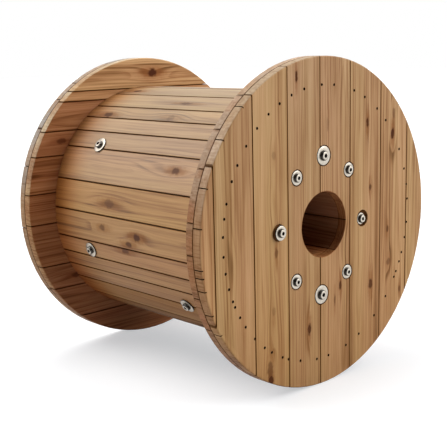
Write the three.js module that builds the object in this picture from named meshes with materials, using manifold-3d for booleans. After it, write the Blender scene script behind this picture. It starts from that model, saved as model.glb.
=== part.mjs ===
// A wooden cable drum lying on the rims of its flanges, in millimetres. The drum's axis is X, with the
// front flange at +X, and +Z is up. The origin is on the floor, under the middle of the drum.
// Each flange is two crossed layers of boards. The barrel is a ring of staves, held by two former rings
// inside it. Six staves line the bore, and eight tie bolts clamp the flanges together.
import * as THREE from "three";
import { mergeVertices } from "three/addons/utils/BufferGeometryUtils.js";
import Module from "manifold-3d";

const wasm = await Module();
wasm.setup();

// ---- Driving sizes ----

const DRUM_WIDTH = 910; // over the outer faces of both flanges
const SEAT = 0.3; // between two pieces that bear on each other

const FLANGE_DIAMETER = 1000;
const OUTER_THICKNESS = 30; // upright boards, on the outside
const INNER_THICKNESS = 30; // level boards, on the barrel's side
const BOARD_GAP = 2;
const NARROWEST_BOARD = 30;
const RIM_CHAMFER = 3; // on the two exposed edges of each flange's rim
const RIM_FACETS = 96;

// Where the joints between boards lie, from the drum's axis: across the drum for the upright boards, and
// up for the level ones.
const FRONT_OUTER_JOINTS = [-448, -298, -158, -18, 120, 271, 409];
const FRONT_INNER_JOINTS = [-370, -241, -143, -19, 70, 212, 313, 400];
const BACK_INNER_JOINTS = [-386, -272, -188, -41, 62, 185, 266, 362, 395];
const BACK_OUTER_JOINTS = [-416, -269, -129, 11, 151, 291, 431];

const BARREL_DIAMETER = 800;
const STAVE_THICKNESS = 28;
const STAVE_GAP = 3;
const STAVE_WEB = 4; // what the gaps leave between them where the staves join
const FIRST_JOINT = 108.9; // degrees, from +Y towards +Z
const NEAR_STAVES = [86, 58, 60, 64, 113, 100, 96, 58, 54, 60];
const LOWER_STAVES = [96, 58, 86, 60, 113, 64, 100, 58, 96, 60, 86];
const UPPER_STAVES = [58, 113, 60, 100, 64, 96, 58, 86, 60, 96, 96];
const STAVE_ARC_STEP = 5; // degrees of arc to a facet of a stave's face

const BORE_DIAMETER = 200;
const BORE_FACETS = 48;
const BORE_STAVES = 6;
const BORE_STAVE_THICKNESS = 22;
const BORE_STAVE_GAP = 2;

const FORMER_THICKNESS = 40; // along the drum's axis
const FORMER_DEPTH = 66; // towards the drum's axis
const FORMER_INSETS = { front: 204, back: 180 }; // from the inner face of the flange at that end

// Button-head bolts: diameters, a socket's and a nut's width over their flats, and heights along the bolt.
const M20 = {
  rod: 20,
  washer: 58,
  washerHeight: 5,
  head: 31,
  headHeight: 8.5,
  crown: 22,
  socket: 12,
  nut: 30,
  nutHeight: 16,
};
const M16 = {
  rod: 16,
  washer: 44,
  washerHeight: 4,
  head: 27,
  headHeight: 8.5,
  crown: 20,
  socket: 10.5,
  nut: 24,
  nutHeight: 13,
};
const M12 = {
  rod: 12,
  washer: 50,
  washerHeight: 4,
  head: 27,
  headHeight: 9,
  crown: 20,
  socket: 10.5,
  nut: 19,
  nutHeight: 10,
};
const BOLT_SEGMENTS = 14;
const HOLE_SEGMENTS = 12;
const BOLT_CLEARANCE = 0.8; // round each rod
const BOLT_END = 4; // past the nut of each barrel bolt
const HEAD_LAND = 1.5; // the straight edge under each head's dome
const HEAD_BULGE = 1; // of the dome over a straight slope

// Where each tie bolt was drilled: across the drum, and up from its axis.
const TIE_PLACES = {
  top: [-1, 208],
  upper_right: [115, 154],
  right: [182, -8.5],
  lower_right: [108, -166],
  bottom: [-12, -216],
  lower_left: [-124, -155],
  left: [-198, 4],
  upper_left: [-119, 154],
};
const COUNTERBORE_MARGIN = 3.5; // round each washer
const WASHER_SINK = 0.5; // of each washer's face below the boards'
const WASHER_LIFT = 5.5; // how far the slack left bolt's washer stands off the flange

// The right bolt is a thinner one with a small washer, low in a wide, deep counterbore.
const RIGHT_WASHER = 37;
const RIGHT_COUNTERBORE = { across: 54, depth: 10, rise: 2 };

const BARREL_BOLT_ANGLES = [145.5, 196, 350]; // degrees, on the back former
const FRONT_FORMER_TURN = 70.5; // degrees from the back former's bolts to the front one's

// ---- Sizes that follow ----

const RIM_RADIUS = FLANGE_DIAMETER / 2;
const BORE_RADIUS = BORE_DIAMETER / 2;
const BARREL_RADIUS = BARREL_DIAMETER / 2;
const FACE_X = DRUM_WIDTH / 2;
const OUTER_BACK_X = FACE_X - OUTER_THICKNESS;
const INNER_FRONT_X = OUTER_BACK_X - SEAT;
const INNER_FACE_X = INNER_FRONT_X - INNER_THICKNESS;
const BARREL_END_X = INNER_FACE_X - SEAT;
const LINING_RADIUS = BORE_RADIUS + BORE_STAVE_THICKNESS;
const STAVE_INNER_RADIUS = BARREL_RADIUS - STAVE_THICKNESS;
const STAVE_GAP_DEPTH = (STAVE_THICKNESS - STAVE_WEB) / 2;
const FORMER_INNER_RADIUS = STAVE_INNER_RADIUS - FORMER_DEPTH;
const FORMER_X = { front: INNER_FACE_X - FORMER_INSETS.front, back: FORMER_INSETS.back - INNER_FACE_X };
const BOLT_REACH = WASHER_LIFT + M16.washerHeight + M16.headHeight; // past either flange, at the most

const RIGHT_BOLT = { ...M16, rod: M12.rod, nut: M12.nut, nutHeight: M12.nutHeight, washer: RIGHT_WASHER };

function tieBolt(name, size, seat = {}) {
  const [y, z] = TIE_PLACES[name];
  const across = size.washer + 2 * COUNTERBORE_MARGIN;
  const depth = size.washerHeight + SEAT + WASHER_SINK;
  return { name, size, y, z, seat: { across, depth, rise: 0, lift: 0, ...seat } };
}

const TIE_BOLTS = [
  tieBolt("top", M20),
  tieBolt("upper_right", M16),
  tieBolt("right", RIGHT_BOLT, RIGHT_COUNTERBORE),
  tieBolt("lower_right", M16),
  tieBolt("bottom", M20),
  tieBolt("lower_left", M16),
  tieBolt("left", M16, { lift: WASHER_LIFT }),
  tieBolt("upper_left", M16),
];

const BARREL_BOLTS = [
  ...BARREL_BOLT_ANGLES.map((degrees) => ({ end: "back", degrees })),
  ...BARREL_BOLT_ANGLES.map((degrees) => ({ end: "front", degrees: degrees + FRONT_FORMER_TURN })),
];

// ---- Finishes ----

const upright = new THREE.MeshStandardMaterial({ color: 0xb48c60, roughness: 0.62, metalness: 0 });
const level = new THREE.MeshStandardMaterial({ color: 0x9a6c42, roughness: 0.66, metalness: 0 });
const stave = new THREE.MeshStandardMaterial({ color: 0xb98a5c, roughness: 0.6, metalness: 0 });
const lining = new THREE.MeshStandardMaterial({ color: 0x8a5c36, roughness: 0.7, metalness: 0 });
const zincPlate = new THREE.MeshStandardMaterial({ color: 0xd0cec8, roughness: 0.32, metalness: 1 });

// ---- Working with solids ----

function solid(geometry) {
  const bare = geometry.clone();
  bare.deleteAttribute("normal");
  bare.deleteAttribute("uv");
  const merged = mergeVertices(bare, 1e-4);
  const corners = merged.index.array;
  const triangles = [];
  for (let i = 0; i < corners.length; i += 3) {
    const [a, b, c] = corners.slice(i, i + 3);
    if (a !== b && b !== c && c !== a) triangles.push(a, b, c);
  }
  return new wasm.Manifold(
    new wasm.Mesh({
      numProp: 3,
      vertProperties: merged.attributes.position.array,
      triVerts: new Uint32Array(triangles),
    }),
  );
}

function meshOf(name, shape, material) {
  const { vertProperties, triVerts } = shape.getMesh();
  const geometry = new THREE.BufferGeometry();
  geometry.setAttribute("position", new THREE.BufferAttribute(vertProperties, 3));
  geometry.setIndex(new THREE.BufferAttribute(triVerts, 1));
  geometry.computeVertexNormals();
  const mesh = new THREE.Mesh(geometry, material);
  mesh.name = name;
  return mesh;
}

// Turns a shape drawn in the Y-Z plane into a solid from x0 to x1.
const ALONG_X = new THREE.Matrix4().makeBasis(
  new THREE.Vector3(0, 1, 0),
  new THREE.Vector3(0, 0, 1),
  new THREE.Vector3(1, 0, 0),
);

function prism(shape, x0, x1, curveSegments = 12) {
  const extruded = new THREE.ExtrudeGeometry(shape, { depth: x1 - x0, bevelEnabled: false, curveSegments });
  return solid(extruded.applyMatrix4(ALONG_X).translate(x0, 0, 0));
}

const polar = (radius, angle) => new THREE.Vector2(radius * Math.cos(angle), radius * Math.sin(angle));

// A regular polygon whose flats touch the circle, one of them at the bottom.
function roundOutline(radius, facets) {
  const cornerRadius = radius / Math.cos(Math.PI / facets);
  return Array.from({ length: facets }, (_, i) => polar(cornerRadius, ((i + 0.5) * 2 * Math.PI) / facets));
}

const disc = (radius, facets, x0, x1) => prism(new THREE.Shape(roundOutline(radius, facets)), x0, x1);

// A whole layer of a flange, chamfered along the rim at x0 and x1 where those edges are exposed.
function roundLayer(x0, x1, chamfer0, chamfer1) {
  const cornerScale = 1 / Math.cos(Math.PI / RIM_FACETS);
  const profile = [
    [0, x0],
    [RIM_RADIUS - chamfer0, x0],
    ...(chamfer0 ? [[RIM_RADIUS, x0 + chamfer0]] : []),
    [RIM_RADIUS, x1 - chamfer1],
    ...(chamfer1 ? [[RIM_RADIUS - chamfer1, x1]] : []),
    [0, x1],
  ].map(([r, x]) => new THREE.Vector2(r * cornerScale, x));
  const turned = new THREE.LatheGeometry(profile, RIM_FACETS, Math.PI / RIM_FACETS);
  return solid(turned.rotateZ(-Math.PI / 2));
}

function box(x0, x1, y0, y1, z0, z1) {
  const block = new THREE.BoxGeometry(x1 - x0, y1 - y0, z1 - z0);
  return solid(block.translate((x0 + x1) / 2, (y0 + y1) / 2, (z0 + z1) / 2));
}

// A round bar along X through (y, z).
function roundBar(radius, segments, x0, x1, y, z) {
  const bar = new THREE.CylinderGeometry(radius, radius, x1 - x0, segments);
  return solid(bar.rotateZ(-Math.PI / 2).translate((x0 + x1) / 2, y, z));
}

// ---- Flanges ----

// What the tie bolts cut out of the boards: a hole for each rod, and a counterbore for each washer.
function tieBoltCuts() {
  return TIE_BOLTS.map(({ y, z, size, seat }) => {
    const holeRadius = size.rod / 2 + BOLT_CLEARANCE;
    const seatRadius = seat.across / 2;
    const seatZ = z + seat.rise;
    const hole = roundBar(holeRadius, HOLE_SEGMENTS, -FACE_X - 1, FACE_X + 1, y, z);
    const front = roundBar(seatRadius, BOLT_SEGMENTS, FACE_X - seat.depth, FACE_X + 1, y, seatZ);
    const back = roundBar(seatRadius, BOLT_SEGMENTS, -FACE_X - 1, -FACE_X + seat.depth, y, seatZ);
    return hole.add(front).add(back);
  });
}

const TIE_CUTS = tieBoltCuts();

// One layer of boards, from x0 to x1. `turn` says which way the joints run, and a board that the hole cuts
// right through is made as its two halves. Boards are numbered along the whole list of joints. A joint too
// near the rim is left out, and the board inside it then runs out to the rim.
function boardLayer({ name, joints, turn, x0, x1, exposed, holeRadius, material }) {
  const round = roundLayer(x0, x1, exposed === x0 ? RIM_CHAMFER : 0, exposed === x1 ? RIM_CHAMFER : 0);
  const hole = disc(holeRadius, BORE_FACETS, x0 - 1, x1 + 1);
  const kept = joints.filter((joint) => Math.abs(joint) < RIM_RADIUS - NARROWEST_BOARD);
  const firstNumber = joints.indexOf(kept[0]) + 1;
  const edges = [-RIM_RADIUS - BOARD_GAP, ...kept, RIM_RADIUS + BOARD_GAP];
  const far = RIM_RADIUS + 1;
  const strip = (low, high, from, to) =>
    turn === "upright" ? box(x0 - 1, x1 + 1, low, high, from, to) : box(x0 - 1, x1 + 1, from, to, low, high);
  const boards = new THREE.Group();
  for (let i = 0; i + 1 < edges.length; i++) {
    const low = edges[i] + BOARD_GAP / 2;
    const high = edges[i + 1] - BOARD_GAP / 2;
    const halved = Math.max(Math.abs(low), Math.abs(high)) < holeRadius;
    const lengths = halved ? { _left: [-far, 0], _right: [0, far] } : { "": [-far, far] };
    for (const [suffix, [from, to]] of Object.entries(lengths)) {
      let board = round.intersect(strip(low, high, from, to)).subtract(hole);
      for (const cut of TIE_CUTS) board = board.subtract(cut);
      boards.add(meshOf(`${name}_${firstNumber + i}${suffix}`, board, material));
    }
  }
  return boards;
}

function frontFlange() {
  const flange = new THREE.Group();
  flange.add(
    boardLayer({
      name: "front_outer_board",
      joints: FRONT_OUTER_JOINTS,
      turn: "upright",
      x0: OUTER_BACK_X,
      x1: FACE_X,
      exposed: FACE_X,
      holeRadius: BORE_RADIUS,
      material: upright,
    }),
    boardLayer({
      name: "front_inner_board",
      joints: FRONT_INNER_JOINTS,
      turn: "level",
      x0: INNER_FACE_X,
      x1: INNER_FRONT_X,
      exposed: INNER_FACE_X,
      holeRadius: LINING_RADIUS + SEAT,
      material: level,
    }),
  );
  return flange;
}

function backFlange() {
  const flange = new THREE.Group();
  flange.add(
    boardLayer({
      name: "back_inner_board",
      joints: BACK_INNER_JOINTS,
      turn: "level",
      x0: -INNER_FRONT_X,
      x1: -INNER_FACE_X,
      exposed: -INNER_FACE_X,
      holeRadius: LINING_RADIUS + SEAT,
      material: level,
    }),
    boardLayer({
      name: "back_outer_board",
      joints: BACK_OUTER_JOINTS,
      turn: "upright",
      x0: -FACE_X,
      x1: -OUTER_BACK_X,
      exposed: -FACE_X,
      holeRadius: BORE_RADIUS,
      material: upright,
    }),
  );
  return flange;
}

// ---- Bolts ----

// A button-head bolt turned about Y, with its washers and nut. It runs from `tail` up to `headSeat`, where
// its washer bears. Its nut bears on `nutSeat` through a second washer, or directly where that is 0.
function boltSolid({ size, headSeat, nutSeat, tail, nutWasher }) {
  const rod = size.rod / 2;
  const head = size.head / 2;
  const crown = size.crown / 2;
  const washer = size.washer / 2;
  const underHead = headSeat + size.washerHeight;
  const top = underHead + size.headHeight;
  const nutTop = nutSeat - nutWasher;
  const secondWasher = [
    [rod, nutTop],
    [washer, nutTop],
    [washer, nutSeat],
    [rod, nutSeat],
  ];
  const profile = [
    [0, tail],
    [rod, tail],
    ...(nutWasher ? secondWasher : []),
    [rod, headSeat],
    [washer, headSeat],
    [washer, underHead],
    [head, underHead],
    [head, underHead + HEAD_LAND],
    [(head + crown) / 2 + HEAD_BULGE, (underHead + HEAD_LAND + top) / 2 + HEAD_BULGE],
    [crown, top],
    [0, top],
  ].map(([r, along]) => new THREE.Vector2(r, along));
  const turned = solid(new THREE.LatheGeometry(profile, BOLT_SEGMENTS));
  const cornerRadius = (acrossFlats) => acrossFlats / Math.sqrt(3);
  const nutRadius = cornerRadius(size.nut);
  const nutBar = new THREE.CylinderGeometry(nutRadius, nutRadius, size.nutHeight, 6);
  const nut = solid(nutBar.translate(0, nutTop - size.nutHeight / 2, 0));
  const socketDepth = size.headHeight * 0.6;
  const socketRadius = cornerRadius(size.socket);
  const socketBar = new THREE.CylinderGeometry(socketRadius, socketRadius, 2 * socketDepth, 6);
  return turned.add(nut).subtract(solid(socketBar.translate(0, top, 0)));
}

// Tie bolts lie along X, with their heads at the front flange and their nuts at the back one.
function tieBolts() {
  const bolts = new THREE.Group();
  for (const { name, size, y, z, seat } of TIE_BOLTS) {
    const shape = boltSolid({
      size,
      headSeat: seat.lift ? FACE_X + seat.lift : FACE_X - seat.depth + SEAT,
      nutSeat: -FACE_X + seat.depth - SEAT,
      tail: -FACE_X - BOLT_REACH,
      nutWasher: size.washerHeight,
    });
    const bolt = meshOf(`tie_bolt_${name}`, shape, zincPlate);
    bolt.rotation.z = -Math.PI / 2;
    bolt.position.set(0, y, z);
    bolts.add(bolt);
  }
  return bolts;
}

// Barrel bolts point outwards, through a stave and the former under it.
const NUT_SEAT_RADIUS = Math.sqrt(FORMER_INNER_RADIUS ** 2 - (M12.nut / Math.sqrt(3)) ** 2) - SEAT;

function barrelBolts() {
  const bolts = new THREE.Group();
  const counts = { front: 0, back: 0 };
  for (const { end, degrees } of BARREL_BOLTS) {
    const shape = boltSolid({
      size: M12,
      headSeat: BARREL_RADIUS + SEAT,
      nutSeat: NUT_SEAT_RADIUS,
      tail: NUT_SEAT_RADIUS - M12.nutHeight - BOLT_END,
      nutWasher: 0,
    });
    counts[end] += 1;
    const bolt = meshOf(`barrel_bolt_${end}_${counts[end]}`, shape, zincPlate);
    bolt.rotation.x = THREE.MathUtils.degToRad(degrees);
    bolt.position.x = FORMER_X[end];
    bolts.add(bolt);
  }
  return bolts;
}

function barrelBoltHoles() {
  const radius = M12.rod / 2 + BOLT_CLEARANCE;
  return BARREL_BOLTS.map(({ end, degrees }) => {
    const bar = new THREE.CylinderGeometry(radius, radius, BARREL_DIAMETER / 2, HOLE_SEGMENTS);
    bar.translate(0, BARREL_RADIUS, 0).rotateX(THREE.MathUtils.degToRad(degrees));
    return solid(bar.translate(FORMER_X[end], 0, 0));
  });
}

const BARREL_HOLES = barrelBoltHoles();

// ---- Barrel ----

// The angle of each joint between staves: each stave takes its share of the ring.
function staveEdges() {
  const widths = [...NEAR_STAVES, ...LOWER_STAVES, ...UPPER_STAVES];
  const whole = widths.reduce((sum, width) => sum + width, 0);
  let angle = THREE.MathUtils.degToRad(FIRST_JOINT);
  return widths.map((width) => {
    const start = angle;
    angle += (width / whole) * 2 * Math.PI;
    return [start, angle];
  });
}

const STAVES = staveEdges();

// Staves have a turned outer face and a flat inner one. They share one solid, with the gaps between them
// cut into both faces.
function barrel() {
  const outline = [];
  const inside = [];
  for (const [start, end] of STAVES) {
    const outerGap = STAVE_GAP / 2 / BARREL_RADIUS;
    const innerGap = STAVE_GAP / 2 / STAVE_INNER_RADIUS;
    const steps = Math.ceil(THREE.MathUtils.radToDeg(end - start) / STAVE_ARC_STEP);
    outline.push(polar(BARREL_RADIUS - STAVE_GAP_DEPTH, start + outerGap));
    for (let i = 0; i <= steps; i++) {
      outline.push(polar(BARREL_RADIUS, THREE.MathUtils.lerp(start + outerGap, end - outerGap, i / steps)));
    }
    outline.push(polar(BARREL_RADIUS - STAVE_GAP_DEPTH, end - outerGap));
    for (const [radius, angle] of [
      [STAVE_INNER_RADIUS + STAVE_GAP_DEPTH, start + innerGap],
      [STAVE_INNER_RADIUS, start + innerGap],
      [STAVE_INNER_RADIUS, end - innerGap],
      [STAVE_INNER_RADIUS + STAVE_GAP_DEPTH, end - innerGap],
    ]) {
      inside.push(polar(radius, angle));
    }
  }
  const ring = new THREE.Shape(outline);
  ring.holes.push(new THREE.Path(inside));
  let staves = prism(ring, -BARREL_END_X, BARREL_END_X);
  for (const hole of BARREL_HOLES) staves = staves.subtract(hole);
  return meshOf("barrel_staves", staves, stave);
}

// A former is a ring with a flat on its edge for each stave.
function former(end) {
  const edge = STAVES.map(([start]) => polar(STAVE_INNER_RADIUS - SEAT, start));
  const ring = new THREE.Shape(edge);
  ring.holes.push(new THREE.Path(roundOutline(FORMER_INNER_RADIUS, BORE_FACETS)));
  const half = FORMER_THICKNESS / 2;
  let shape = prism(ring, FORMER_X[end] - half, FORMER_X[end] + half);
  for (const hole of BARREL_HOLES) shape = shape.subtract(hole);
  return meshOf(`former_${end}`, shape, level);
}

// ---- Bore ----

function boreStaves() {
  const staves = new THREE.Group();
  const pitch = (2 * Math.PI) / BORE_STAVES;
  for (let i = 0; i < BORE_STAVES; i++) {
    const start = i * pitch;
    const innerGap = BORE_STAVE_GAP / 2 / BORE_RADIUS;
    const outerGap = BORE_STAVE_GAP / 2 / LINING_RADIUS;
    const section = new THREE.Shape();
    section.absarc(0, 0, BORE_RADIUS, start + pitch - innerGap, start + innerGap, true);
    section.absarc(0, 0, LINING_RADIUS, start + outerGap, start + pitch - outerGap, false);
    section.closePath();
    const end = INNER_FRONT_X;
    staves.add(meshOf(`bore_stave_${i + 1}`, prism(section, -end, end, BORE_FACETS / BORE_STAVES), lining));
  }
  return staves;
}

// ---- The whole drum ----

const drum = new THREE.Group();
drum.name = "cable_drum";
const onItsRims = new THREE.Group();
onItsRims.position.z = RIM_RADIUS;
onItsRims.add(frontFlange(), backFlange(), barrel(), former("front"), former("back"));
onItsRims.add(boreStaves(), tieBolts(), barrelBolts());
drum.add(onItsRims);

export default drum;
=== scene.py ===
import math
import random
from functools import partial

import bpy
from mathutils import Matrix, Vector


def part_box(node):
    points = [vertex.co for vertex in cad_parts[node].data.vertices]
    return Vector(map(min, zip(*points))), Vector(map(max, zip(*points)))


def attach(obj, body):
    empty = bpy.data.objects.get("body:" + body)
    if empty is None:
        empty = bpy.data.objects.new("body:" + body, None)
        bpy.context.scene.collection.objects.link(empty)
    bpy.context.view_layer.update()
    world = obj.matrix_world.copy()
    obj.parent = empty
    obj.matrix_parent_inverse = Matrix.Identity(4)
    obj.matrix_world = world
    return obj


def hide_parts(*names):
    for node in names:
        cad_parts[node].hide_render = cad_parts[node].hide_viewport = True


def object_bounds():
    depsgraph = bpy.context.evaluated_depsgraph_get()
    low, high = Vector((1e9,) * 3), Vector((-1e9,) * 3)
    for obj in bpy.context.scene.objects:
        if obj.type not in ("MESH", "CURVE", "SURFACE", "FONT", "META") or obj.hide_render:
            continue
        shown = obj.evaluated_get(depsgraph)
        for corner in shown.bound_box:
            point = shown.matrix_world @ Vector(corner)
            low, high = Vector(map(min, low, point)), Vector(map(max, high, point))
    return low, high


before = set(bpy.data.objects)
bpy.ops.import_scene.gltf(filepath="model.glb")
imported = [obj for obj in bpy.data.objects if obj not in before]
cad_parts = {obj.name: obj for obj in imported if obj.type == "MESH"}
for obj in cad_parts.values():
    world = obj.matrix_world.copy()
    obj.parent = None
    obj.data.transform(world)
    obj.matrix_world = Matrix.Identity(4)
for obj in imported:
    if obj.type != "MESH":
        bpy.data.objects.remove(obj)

cad_box = [list(corner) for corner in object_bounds()]
axis_height = cad_box[1][2] / 2
scene = bpy.context.scene


# ---- The studio ----
# A camera at standing height, looking at the front flange from its left, a plain white floor that keeps the
# drum's shadow, and soft light from above and from the right.


def set_inputs(tree, node, inputs):
    """Gives inputs of a node, by name or number, the sockets that they link to or their own values."""
    for socket, value in dict(inputs).items():
        if isinstance(value, bpy.types.NodeSocket):
            tree.links.new(value, node.inputs[socket])
        else:
            node.inputs[socket].default_value = value


def add_node(tree, kind, inputs=(), **settings):
    """A new node, whose settings are made before its inputs."""
    node = tree.nodes.new(kind)
    for setting, value in settings.items():
        setattr(node, setting, value)
    set_inputs(tree, node, inputs)
    return node


def calculate(tree, operation, *values):
    """What a math node makes of its values."""
    return add_node(tree, "ShaderNodeMath", enumerate(values), operation=operation).outputs[0]


def rescale(tree, value, low, high, to_low, to_high, kind="SMOOTHSTEP"):
    """A value from low to high, moved to lie from to_low to to_high and held to them."""
    inputs = {"Value": value, "From Min": low, "From Max": high, "To Min": to_low, "To Max": to_high}
    return add_node(tree, "ShaderNodeMapRange", inputs, interpolation_type=kind).outputs["Result"]


def seen(tree):
    """1 for the camera and for reflections, and 0 for the light that falls on other surfaces."""
    ray = add_node(tree, "ShaderNodeLightPath").outputs
    return calculate(tree, "MAXIMUM", ray["Is Camera Ray"], ray["Is Glossy Ray"])


def primitive(add, name, scale=(1, 1, 1), **shape):
    """A new piece from one of the mesh operators, with its place and turn in its mesh."""
    bpy.ops.object.select_all(action="DESELECT")
    add(**shape)
    piece = bpy.context.object
    piece.name = name
    piece.data.name = name
    piece.scale = scale
    bpy.ops.object.transform_apply(location=True, rotation=True, scale=True)
    return piece


camera_place = Vector((2.2563, -2.0814, 1.0288))
looking = Vector((-0.72085, 0.66753, -0.18646)).normalized()
rightwards = looking.cross(Vector((-0.12148, 0.14318, 0.98221))).normalized()
upwards = rightwards.cross(looking)
camera_data = bpy.data.cameras.new("camera")
camera_data.lens = 74.52
camera_data.sensor_width = 36
camera = bpy.data.objects.new("camera", camera_data)
camera_turn = Matrix((rightwards, upwards, -looking)).transposed().to_4x4()
camera.matrix_world = Matrix.Translation(camera_place) @ camera_turn
scene.collection.objects.link(camera)
scene.camera = camera

# The floor glows a little to the camera, so that it looks white and still shows the drum's shadow.
floor = primitive(bpy.ops.mesh.primitive_plane_add, "floor", size=60, location=(0, 0, 0))
floor_paint = bpy.data.materials.new("floor_paint")
floor_paint.use_nodes = True
tree = floor_paint.node_tree
tree.nodes.clear()
matt = add_node(tree, "ShaderNodeBsdfDiffuse", {"Color": (0.6, 0.6, 0.6, 1)})
shining = calculate(tree, "MULTIPLY", seen(tree), 0.49)
glow = add_node(tree, "ShaderNodeEmission", {"Color": (0.975, 1, 1.03, 1), "Strength": shining})
both = add_node(tree, "ShaderNodeAddShader", {0: matt.outputs[0], 1: glow.outputs[0]})
add_node(tree, "ShaderNodeOutputMaterial", {"Surface": both.outputs[0]})
floor.data.materials.append(floor_paint)

# The world looks white, but gives little light, and its reflections are dim on the camera's side.
world = bpy.data.worlds.new("studio")
scene.world = world
world.use_nodes = True
tree = world.node_tree
tree.nodes.clear()
direction = add_node(tree, "ShaderNodeTexCoord").outputs["Generated"]
towards_camera = add_node(tree, "ShaderNodeVectorMath", {0: direction, 1: (0.72, -0.67, 0.19)},
                          operation="DOT_PRODUCT")
unlit = rescale(tree, towards_camera.outputs["Value"], 0.3, 0.7, 1, 0.03, "LINEAR")
ray = add_node(tree, "ShaderNodeLightPath").outputs
glare = calculate(tree, "MAXIMUM", unlit, ray["Is Camera Ray"])
white = add_node(tree, "ShaderNodeBackground", {"Color": (1, 1, 1, 1), "Strength": glare})
around = add_node(tree, "ShaderNodeBackground", {"Color": (1, 0.985, 0.96, 1), "Strength": 0.02})
straight = calculate(tree, "MAXIMUM", seen(tree), ray["Is Transmission Ray"])
choice = add_node(tree, "ShaderNodeMixShader", {"Fac": straight, 1: around.outputs[0], 2: white.outputs[0]})
add_node(tree, "ShaderNodeOutputWorld", {"Surface": choice.outputs[0]})

for name, coming_from, spread, power in (
    ("high_left_light", (-0.35, -0.35, 0.87), 45, 2.1),
    ("low_left_light", (-0.62, -0.62, 0.47), 45, 0.76),
    ("high_right_light", (-0.15, 0.46, 0.87), 70, 1.65),
    ("low_right_light", (0.62, 0.62, 0.47), 45, 2.2),
):
    lamp = bpy.data.lights.new(name, "SUN")
    lamp.angle = math.radians(spread)
    lamp.energy = power
    lamp_object = bpy.data.objects.new(name, lamp)
    lamp_object.rotation_euler = Vector(coming_from).to_track_quat("Z", "Y").to_euler()
    scene.collection.objects.link(lamp_object)

scene.view_settings.view_transform = "Standard"


# ---- Upright boards of both flanges ----
# Planed pine boards, 30 mm thick, that make the outer layer of each flange. They are sawn round at the rim,
# bored for the spindle and the tie bolts, and nailed to the level boards behind them.

facing = {"front": 1, "back": -1}  # which way each flange's outside faces along X
flange_radius = axis_height
bore_radius = 0.1
layer_seam, outer_face = (corner.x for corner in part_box("front_outer_board_1"))
sunk_shade_rim = flange_radius - 0.013  # how far out painted shade lies in what is sunk below a face


def parts_of(tree, vector):
    return add_node(tree, "ShaderNodeSeparateXYZ", {0: vector}).outputs


def vector_of(tree, **parts):
    return add_node(tree, "ShaderNodeCombineXYZ", parts).outputs[0]


def hypotenuse(tree, first, second):
    squares = [calculate(tree, "POWER", side, 2) for side in (first, second)]
    return calculate(tree, "SQRT", calculate(tree, "ADD", *squares))


def mix_colours(tree, factor, base, colour, kind="MIX"):
    """base with so much of colour mixed in. Both are sockets or tuples."""
    inputs = {"Factor": factor}
    for socket, value in ((6, base), (7, colour)):
        inputs[socket] = (*value, 1) if isinstance(value, tuple) else value
    return add_node(tree, "ShaderNodeMix", inputs, data_type="RGBA", blend_type=kind).outputs[2]


def shade_ramp(tree, factor, stops):
    """The colour that a ramp through stops, each a place and a colour, has at factor."""
    ramp = add_node(tree, "ShaderNodeValToRGB", {"Fac": factor})
    first, last = ramp.color_ramp.elements
    first.position, first.color = stops[0][0], (*stops[0][1], 1)
    last.position, last.color = stops[-1][0], (*stops[-1][1], 1)
    for position, shade in stops[1:-1]:
        ramp.color_ramp.elements.new(position).color = (*shade, 1)
    return ramp.outputs["Color"]


def node_group(name, inputs, outputs):
    """An empty node group with the sockets named, and what its nodes are given and have to set."""
    tree = bpy.data.node_groups.new(name, "ShaderNodeTree")
    kinds = dict.fromkeys(("Point", "Heart", "Tint", "Centre"), "NodeSocketVector")
    kinds["Color"] = "NodeSocketColor"
    for side, sockets in (("INPUT", inputs), ("OUTPUT", outputs)):
        for socket in sockets.split():
            kind = kinds.get(socket, "NodeSocketFloat")
            tree.interface.new_socket(socket, in_out=side, socket_type=kind)
    return tree, add_node(tree, "NodeGroupInput").outputs, add_node(tree, "NodeGroupOutput")


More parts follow.
